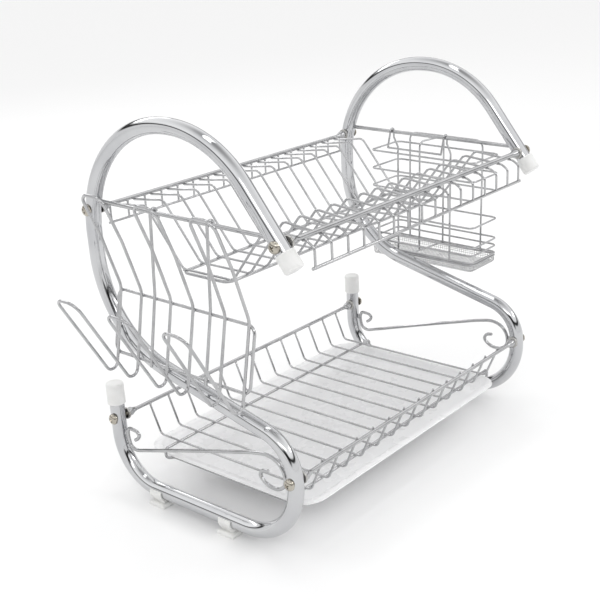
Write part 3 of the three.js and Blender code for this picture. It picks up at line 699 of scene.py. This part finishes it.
FLOOR_WIRES = 13
FLOOR_SPAN = HALF - 39.5
FLOOR_Z = 49.7
low_rear_y = RAILS["lower_rear"][0]
low_front_y = RAILS["lower_front"][0]

bm = bmesh.new()
add_rail(bm, *RAILS["lower_rear"])
add_rail(bm, *RAILS["lower_front"])
rails = finish_piece("lower_rack_rails", bm, wire_chrome)
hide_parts("lower_basket")

floor_loop_z = FLOOR_Z - WIRE_R - LOOP_R + WELD
CARRIER_Z = floor_loop_z - 10.4
CARRIER_X = HALF - 27.5
TRAY_LIP = 3.0
RISER_X = CARRIER_X + TRAY_LIP + LOOP_R + 1.5
jog = RISER_X - CARRIER_X
LOOP_REAR = 82.0
LOOP_FRONT = -85.0

bm = bmesh.new()
wall_y = low_front_y + 2.0 + WIRE_R - WELD
for x in spread(FLOOR_WIRES, -FLOOR_SPAN, FLOOR_SPAN):
    corners = [
        (x, low_rear_y - 1, LOW_Z - 0.8), (x, low_rear_y - 14, FLOOR_Z),
        (x, low_front_y + 17, FLOOR_Z), (x, wall_y, LOW_Z), (x, wall_y - 1.2, LOW_Z + 3.4),
    ]
    add_bar(bm, bent(corners, [0, 6, 6, 0, 0], step=12), WIRE_R, 12)
    add_bead(bm, (x, low_rear_y - 1.4, LOW_Z - 1.0), 1.6, 1.4)
    add_bead(bm, (x, wall_y - 0.8, LOW_Z), 1.5, 1.7)
    for y in (LOOP_REAR, LOOP_FRONT):
        add_bead(bm, (x, y, floor_loop_z + 1.1), 1.5, 1.0)
wires = finish_piece("lower_rack_wires", bm, wire_chrome)

bm = bmesh.new()
half_loop = [
    (RISER_X, LOOP_REAR, floor_loop_z), (RISER_X, LOOP_REAR, CARRIER_Z),
    (CARRIER_X, LOOP_REAR - jog, CARRIER_Z), (CARRIER_X, LOOP_FRONT + jog, CARRIER_Z),
    (RISER_X, LOOP_FRONT, CARRIER_Z), (RISER_X, LOOP_FRONT, floor_loop_z),
]
floor_loop = half_loop + [(-x, y, z) for x, y, z in half_loop[::-1]]
add_bar(bm, bent(floor_loop, 3.4, closed=True, step=12), LOOP_R, 14, closed=True)
loop = finish_piece("tray_carrier_loop", bm, wire_chrome)

# ---- Drip tray -------------------------------------------------------------
# A shallow tray moulded in translucent plastic. Its flange rests on the lowered ends of
# the floor loop, and it slides out to the front.

TRAY_W = 222.0
TRAY_H = 10.4
TRAY_T = 1.6
TRAY_Y = 7.0
tray_l = 2 * (CARRIER_X + TRAY_LIP)
tray_wall = TRAY_LIP + LOOP_R + 2.3
tray_z = CARRIER_Z + LOOP_R + 0.3 - (TRAY_H - TRAY_T)

tray_plastic = surface(
    "tray_plastic", (0.93, 0.93, 0.94), 0.28, blotch=90, pit=14.0, bump=0.025, depth=0.1,
    worn=(0.91, 0.912, 0.925),
    sockets={"Subsurface Weight": 0.5, "Subsurface Scale": 0.02},
)


def rounded_rect(length, width, radius, steps=10):
    points = []
    corners = (
        (length / 2 - radius, width / 2 - radius, 0),
        (radius - length / 2, width / 2 - radius, 1),
        (radius - length / 2, radius - width / 2, 2),
        (length / 2 - radius, radius - width / 2, 3),
    )
    for cx, cy, quarter in corners:
        for k in range(steps + 1):
            a = (quarter + k / steps) * math.pi / 2
            points.append((cx + radius * math.cos(a), cy + radius * math.sin(a)))
    return points


def add_skin(bm, levels, centre):
    """Joins equal outlines, given as (points, height), into one closed skin."""
    loops = []
    for points, height in levels:
        loop = []
        for px, py in points:
            q = Vector((px, py, height)) + Vector(centre)
            loop.append(bm.verts.new(q))
        loops.append(loop)
    for a, b in zip(loops, loops[1:]):
        n = len(a)
        for i in range(n):
            e = (i + 1) % n
            bm.faces.new((a[i], a[e], b[e], b[i]))
    bm.faces.new(loops[0][::-1])
    bm.faces.new(loops[-1])


def tray_level(inset, z):
    return rounded_rect(tray_l - 2 * inset, TRAY_W - 2 * inset, 24 - inset), z


deep = TRAY_H - TRAY_T
bm = bmesh.new()
add_skin(
    bm,
    [
        tray_level(tray_wall + 9, 0.0), tray_level(tray_wall + 6.6, 0.25),
        tray_level(tray_wall + 5.2, 1.0), tray_level(tray_wall + 1.4, deep - 1.6),
        tray_level(tray_wall + 0.3, deep - 0.4), tray_level(tray_wall - 0.6, deep),
        tray_level(0.5, deep), tray_level(0.1, deep + 0.3), tray_level(0.0, deep + 0.8),
        tray_level(0.15, TRAY_H - 0.3), tray_level(0.6, TRAY_H),
        tray_level(tray_wall + 0.2, TRAY_H), tray_level(tray_wall + 1.2, TRAY_H - 0.5),
        tray_level(tray_wall + 2.4, deep - 0.6), tray_level(tray_wall + 6.4, 2.6),
        tray_level(tray_wall + 7.6, 1.85), tray_level(tray_wall + 9.4, TRAY_T),
    ],
    (0, TRAY_Y, tray_z),
)
tray = finish_piece("water_tray", bm, tray_plastic, "drip_tray")
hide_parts("drip_tray")

# ---- Cup rack --------------------------------------------------------------
# Chromed 3.2 mm wire: three closed loops whose tops and feet lean out as pegs, a
# rectangle welded behind them, and two hooks that hang it on the left side bar.

HANG_Y = 10.0
slope = (BAR_REAR.z - BAR_FRONT.z) / (BAR_REAR.y - BAR_FRONT.y)
hang_z = BAR_FRONT.z + slope * (HANG_Y - BAR_FRONT.y)
pivot = Matrix.Translation((0, HANG_Y, hang_z))
HUNG = pivot @ Matrix.Rotation(math.atan(slope), 4, "X") @ pivot.inverted()
CUP_R = 1.45
CUP_Y = 2.5
CUP_PITCH = 66.5
CUP_LOOP_W = 28.0
hook_r = BAR_R + CUP_R + 0.3
CUP_LEG = [
    (hook_r + 38.5, hang_z + 20), (hook_r + 20, hang_z - 24), (hook_r + 3.4, hang_z - 75),
    (hook_r + 16, hang_z - 139), (hook_r + 21.5, hang_z - 164), (hook_r + 78.5, hang_z - 65),
]


def hang(bm):
    """Tilts a hung piece to the slope of the side bar."""
    for v in bm.verts:
        v.co = HUNG @ v.co


bm = bmesh.new()
for i in range(3):
    yc = CUP_Y + (i - 1) * CUP_PITCH
    legs = [
        [(-HALF - out, yc + s * CUP_LOOP_W / 2, z) for out, z in CUP_LEG] for s in (1, -1)
    ]
    radii = [11, 30, 20, 20, 7, 11]
    corners = legs[0] + legs[1][::-1]
    peg = bent(corners, radii + radii[::-1], closed=True, step=8)
    add_bar(bm, peg, CUP_R, 14, closed=True)
top_z = CUP_LEG[2][1] - 4
low_z = CUP_LEG[3][1] + 1
back = 2 * CUP_R - WELD
top_x = -HALF - CUP_LEG[2][0] - 1 + back
low_x = -HALF - CUP_LEG[3][0] + back
cup_half = CUP_PITCH + CUP_LOOP_W / 2 + 5
border = bent(
    [
        (top_x, CUP_Y + cup_half, top_z), (top_x, CUP_Y - cup_half, top_z),
        (low_x, CUP_Y - cup_half, low_z), (low_x, CUP_Y + cup_half, low_z),
    ],
    8,
    closed=True,
)
add_bar(bm, border, CUP_R, 14, closed=True)
for i in range(3):
    for s in (1, -1):
        y = CUP_Y + (i - 1) * CUP_PITCH + s * CUP_LOOP_W / 2
        add_bead(bm, (top_x - 1.2, y, top_z), 1.8, 2.0)
        add_bead(bm, (low_x - 1.2, y, low_z), 1.8, 2.0)


def hook_turn(x, y, outward, r, tail):
    """The hook over the side bar, from its tail inside to the start of the leg."""
    run = [Vector((x - (r + tail * 0.3) * outward, y, hang_z - tail))]
    for k in range(13):
        a = math.pi * k / 12
        run.append(Vector((x - math.cos(a) * r * outward, y, hang_z + math.sin(a) * r)))
    return run


for y in (CUP_Y + 35, CUP_Y - 35):
    run = hook_turn(-HALF, y, -1, hook_r, 7)
    run.append(Vector((-HALF - CUP_LEG[2][0], y, top_z + 4)))
    run.append(Vector((-HALF - CUP_LEG[2][0] - 0.9, y, top_z)))
    run.append(Vector((-HALF - CUP_LEG[3][0], y, low_z - 4)))
    add_bar(bm, run, CUP_R, 14)
    add_bead(bm, (top_x - 1.2, y, top_z), 1.8, 2.0)
    add_bead(bm, (low_x - 1.2, y, low_z), 1.8, 2.0)
hang(bm)
cups = finish_piece("cup_pegs", bm, wire_chrome, "cup_rack")
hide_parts("cup_rack")

# ---- Utensil basket --------------------------------------------------------
# A box of chromed wire rings welded to uprights. Two hooks joined by a cross tie hang
# it on the right side bar, and two hoops stand up as its outer guard and its divider.

UT_R = 1.12
UT_L = 141.0
UT_W = 56.0
ring_in = HALF + TUBE_R + UT_R + 1.1
ring_out = ring_in + UT_W
ut_rear = 23.0 + UT_L / 2
ut_front = ut_rear - UT_L
RING_DROPS = (27.5, 49, 70, 102.5, 126.5, 135.5, 144.5)
ring_z = [hang_z - drop for drop in RING_DROPS]
foot_z = ring_z[-1] - 0.6
upright_in = ring_in + 2 * UT_R - WELD
upright_out = ring_out - 2 * UT_R + WELD
hoop_z = hang_z - 14
bm = bmesh.new()
for z in ring_z:
    ring = bent(
        [
            (ring_in, ut_rear, z), (ring_out, ut_rear, z),
            (ring_out, ut_front, z), (ring_in, ut_front, z),
        ],
        7,
        closed=True,
        step=12,
    )
    add_bar(bm, ring, UT_R, 12, closed=True)
ut_hook = BAR_R + UT_R + 0.3
hanger_y = (ut_rear - 38, ut_rear - 110)
for y in hanger_y:
    run = hook_turn(HALF, y, 1, ut_hook, 17)
    run += [
        Vector((HALF + ut_hook, y, hang_z - 7)), Vector((upright_in, y, hang_z - 20)),
        Vector((upright_in, y, foot_z)),
    ]
    add_bar(bm, run, UT_R, 12)
tie_x = HALF - ut_hook - 5.1
tie = [Vector((tie_x, hanger_y[0] + 0.8, hang_z - 17)), Vector((tie_x, hanger_y[1] - 0.8, hang_z - 17))]
add_bar(bm, tie, UT_R, 12)
guard_hoop = bent(
    [
        (upright_out, ut_rear - 19, foot_z), (upright_out, ut_rear - 19, hoop_z),
        (upright_out, ut_front + 21, hoop_z), (upright_out, ut_front + 21, foot_z),
    ],
    9,
)
add_bar(bm, guard_hoop, UT_R, 12)
divider = bent(
    [
        (ring_in + 14, ut_rear - 60, foot_z), (ring_in + 14, ut_rear - 60, hoop_z),
        (upright_out, ut_rear - 67, hoop_z), (upright_out, ut_rear - 67, foot_z),
    ],
    7,
)
add_bar(bm, divider, UT_R, 12)
foot_tie = [Vector((ring_in, ut_rear - 60, ring_z[-1])), Vector((ring_out, ut_rear - 67, ring_z[-1]))]
add_bar(bm, foot_tie, UT_R, 12)
for z in ring_z:
    for y in hanger_y:
        add_bead(bm, (ring_in + 0.9, y, z), 1.5, 1.6)
    for y in (ut_rear - 19, ut_front + 21, ut_rear - 67):
        add_bead(bm, (ring_out - 0.9, y, z), 1.5, 1.6)
hang(bm)
cage = finish_piece("utensil_cage", bm, wire_chrome, "utensil_basket")
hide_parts("utensil_basket")

# ---- Mesh pan --------------------------------------------------------------
# The floor of the utensil basket: fine woven steel mesh pressed to a shallow pan, its
# edge rolled over a rim wire that lies just under the lowest ring.

PAN_H = 9.5
PAN_PITCH = 3.0
PAN_WIRE_R = 0.26
pan_mid = Vector(((ring_in + ring_out) / 2, (ut_rear + ut_front) / 2, 0))
pan_z = ring_z[-1] - UT_R - 0.3 - PAN_H
pan_l = UT_W + 2 * UT_R
pan_w = UT_L + 2 * UT_R
PAN_CORNER = 8.3

mesh_chrome = surface(
    "mesh_chrome", (0.50, 0.502, 0.51), 0.26, 1.0, blotch=9, pit=0.8, bump=0.1,
    worn=(0.41, 0.412, 0.42), spread=0.4,
)


def inside_reach(offset, half_a, half_b, radius):
    """Half length of a line across a rounded rectangle at an offset from its middle."""
    into = abs(offset) - (half_a - radius)
    if into <= 0:
        return half_b
    return half_b - radius + math.sqrt(max(radius**2 - into**2, 0.0))


def pan_wire(offset, along_x, phase):
    """One mesh wire: up the wall, over the floor in a weave, and up the other wall."""
    half_a, half_b = (pan_w / 2, pan_l / 2) if along_x else (pan_l / 2, pan_w / 2)
    reach = inside_reach(offset, half_a - 1, half_b - 1, PAN_CORNER - 1)
    count = max(2, round(2 * (reach - 1.5) / PAN_PITCH))
    stops = [(-reach, PAN_H - 0.5), (-reach + 0.25, 2.4), (-reach + 1.3, 0.8)]
    for k in range(count + 1):
        at = -reach + 1.5 + (2 * reach - 3.0) * k / count
        lift = PAN_WIRE_R * (1 if (k + phase) % 2 else -1)
        stops.append((at, 0.65 + lift))
    stops += [(reach - 1.3, 0.8), (reach - 0.25, 2.4), (reach, PAN_H - 0.5)]
    base = pan_mid + Vector((0, 0, pan_z))
    if along_x:
        return [base + Vector((a, offset, h)) for a, h in stops]
    return [base + Vector((offset, a, h)) for a, h in stops]


bm = bmesh.new()
rows = int((pan_w - 6) / PAN_PITCH)
for k in range(rows + 1):
    offset = (k - rows / 2) * PAN_PITCH
    add_bar(bm, pan_wire(offset, True, k), PAN_WIRE_R, 5, flat=True)
rows = int((pan_l - 6) / PAN_PITCH)
for k in range(rows + 1):
    offset = (k - rows / 2) * PAN_PITCH
    add_bar(bm, pan_wire(offset, False, k + 1), PAN_WIRE_R, 5, flat=True)
for height in (2.9, 5.2):
    hoop = rounded_rect(pan_l - 2, pan_w - 2, PAN_CORNER - 1, 6)
    run = [pan_mid + Vector((px, py, pan_z + height)) for px, py in hoop]
    add_bar(bm, run, PAN_WIRE_R, 5, closed=True)
hang(bm)
woven = finish_piece("pan_mesh", bm, mesh_chrome, "utensil_basket", 80)
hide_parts("utensil_mesh_pan")

bm = bmesh.new()
rim_r = 1.2
hoop = rounded_rect(pan_l - 2 * rim_r, pan_w - 2 * rim_r, PAN_CORNER - rim_r, 8)
run = [pan_mid + Vector((px, py, pan_z + PAN_H - rim_r)) for px, py in hoop]
add_bar(bm, run, rim_r, 12, closed=True)
hang(bm)
rim = finish_piece("pan_rim", bm, wire_chrome, "utensil_basket")

# ---- Studio ----------------------------------------------------------------
# A pale seamless floor under wide soft lights. Dark strips between the lights give the
# chrome its streaks.


def add_light(name, place, target, size, power):
    lamp = bpy.data.lights.new(name, "AREA")
    lamp.shape = "RECTANGLE"
    lamp.size, lamp.size_y = size
    lamp.energy = power
    holder = bpy.data.objects.new(name, lamp)
    holder.location = place
    aim = Vector(target) - Vector(place)
    holder.rotation_mode = "QUATERNION"
    holder.rotation_quaternion = aim.to_track_quat("-Z", "Y")
    bpy.context.scene.collection.objects.link(holder)


floor_mesh = bpy.data.meshes.new("floor")
REACH = 30.0
floor_mesh.from_pydata(
    [(-REACH, -REACH, 0), (REACH, -REACH, 0), (REACH, REACH, 0), (-REACH, REACH, 0)],
    [],
    [(0, 1, 2, 3)],
)
floor = bpy.data.objects.new("floor", floor_mesh)
bpy.context.scene.collection.objects.link(floor)
floor.location.z = -0.0002
floor_paint = bpy.data.materials.new("floor_paint")
floor_paint.use_nodes = True
floor_shader = floor_paint.node_tree.nodes["Principled BSDF"]
floor_shader.inputs["Base Color"].default_value = (0.96, 0.96, 0.96, 1)
floor_shader.inputs["Roughness"].default_value = 1.0
floor_shader.inputs["Specular IOR Level"].default_value = 0.0
floor_mesh.materials.append(floor_paint)

add_light("key_strip", (-1.5, -1.3, 1.7), (0, 0, 0.2), (1.3, 0.3), 5)
add_light("side_strip", (1.1, -1.6, 1.4), (0, 0, 0.2), (0.9, 0.25), 4)
add_light("back_strip", (0.5, 2.0, 1.5), (0, 0, 0.2), (1.6, 0.3), 5)
add_light("high_strip", (0.0, 0.2, 2.4), (0, 0, 0), (1.6, 0.3), 4)

world = bpy.data.worlds.new("studio")
bpy.context.scene.world = world
world.use_nodes = True
sky = world.node_tree
sky_nodes = sky.nodes
background = sky_nodes["Background"]
direction = sky_nodes.new("ShaderNodeTexCoord")
split = sky_nodes.new("ShaderNodeSeparateXYZ")
ramp = sky_nodes.new("ShaderNodeValToRGB")
sky.links.new(direction.outputs["Generated"], split.inputs["Vector"])
sky.links.new(split.outputs["Z"], ramp.inputs["Fac"])
stops = [
    (0.0, 1.0), (0.22, 0.95), (0.28, 0.05), (0.36, 0.05), (0.42, 1.1), (0.55, 1.3),
    (0.75, 1.15), (0.88, 0.9), (1.0, 0.45),
]
ramp.color_ramp.elements[0].position = stops[0][0]
ramp.color_ramp.elements[1].position = stops[-1][0]
ramp.color_ramp.elements[0].color = (*[stops[0][1]] * 3, 1)
ramp.color_ramp.elements[1].color = (*[stops[-1][1]] * 3, 1)
for place, level in stops[1:-1]:
    mark = ramp.color_ramp.elements.new(place)
    mark.color = (level, level, level, 1)
sky.links.new(ramp.outputs["Color"], background.inputs["Color"])
card = sky_nodes.new("ShaderNodeVectorMath")
card.operation = "DOT_PRODUCT"
card.inputs[1].default_value = (-0.733, -0.603, 0.315)
sky.links.new(direction.outputs["Generated"], card.inputs[0])
fade = sky_nodes.new("ShaderNodeMapRange")
fade.inputs["From Min"].default_value = 0.95
fade.inputs["From Max"].default_value = 0.98
fade.inputs["To Min"].default_value = 1.04
fade.inputs["To Max"].default_value = 0.10
sky.links.new(card.outputs["Value"], fade.inputs["Value"])
sky.links.new(fade.outputs["Result"], background.inputs["Strength"])

bpy.context.scene.view_settings.view_transform = "Standard"

# ---- Camera ----------------------------------------------------------------
# Above the cup rack's side and the front, looking down at the rack with a slight roll.

CAMERA_AT = Vector((-797.15, -654.75, 541.43))  # mm, from the rack's middle
CAMERA_TURN = (68.4737, 2.8224, -50.6843)
lens = bpy.data.cameras.new("camera")
lens.lens = 63.668
lens.sensor_width = 36.0
lens.shift_x = -0.0231
lens.shift_y = 0.0525
camera = bpy.data.objects.new("camera", lens)
camera.location = CAMERA_AT * MM + MIDDLE
camera.rotation_euler = [math.radians(a) for a in CAMERA_TURN]
bpy.context.scene.collection.objects.link(camera)
bpy.context.scene.camera = camera
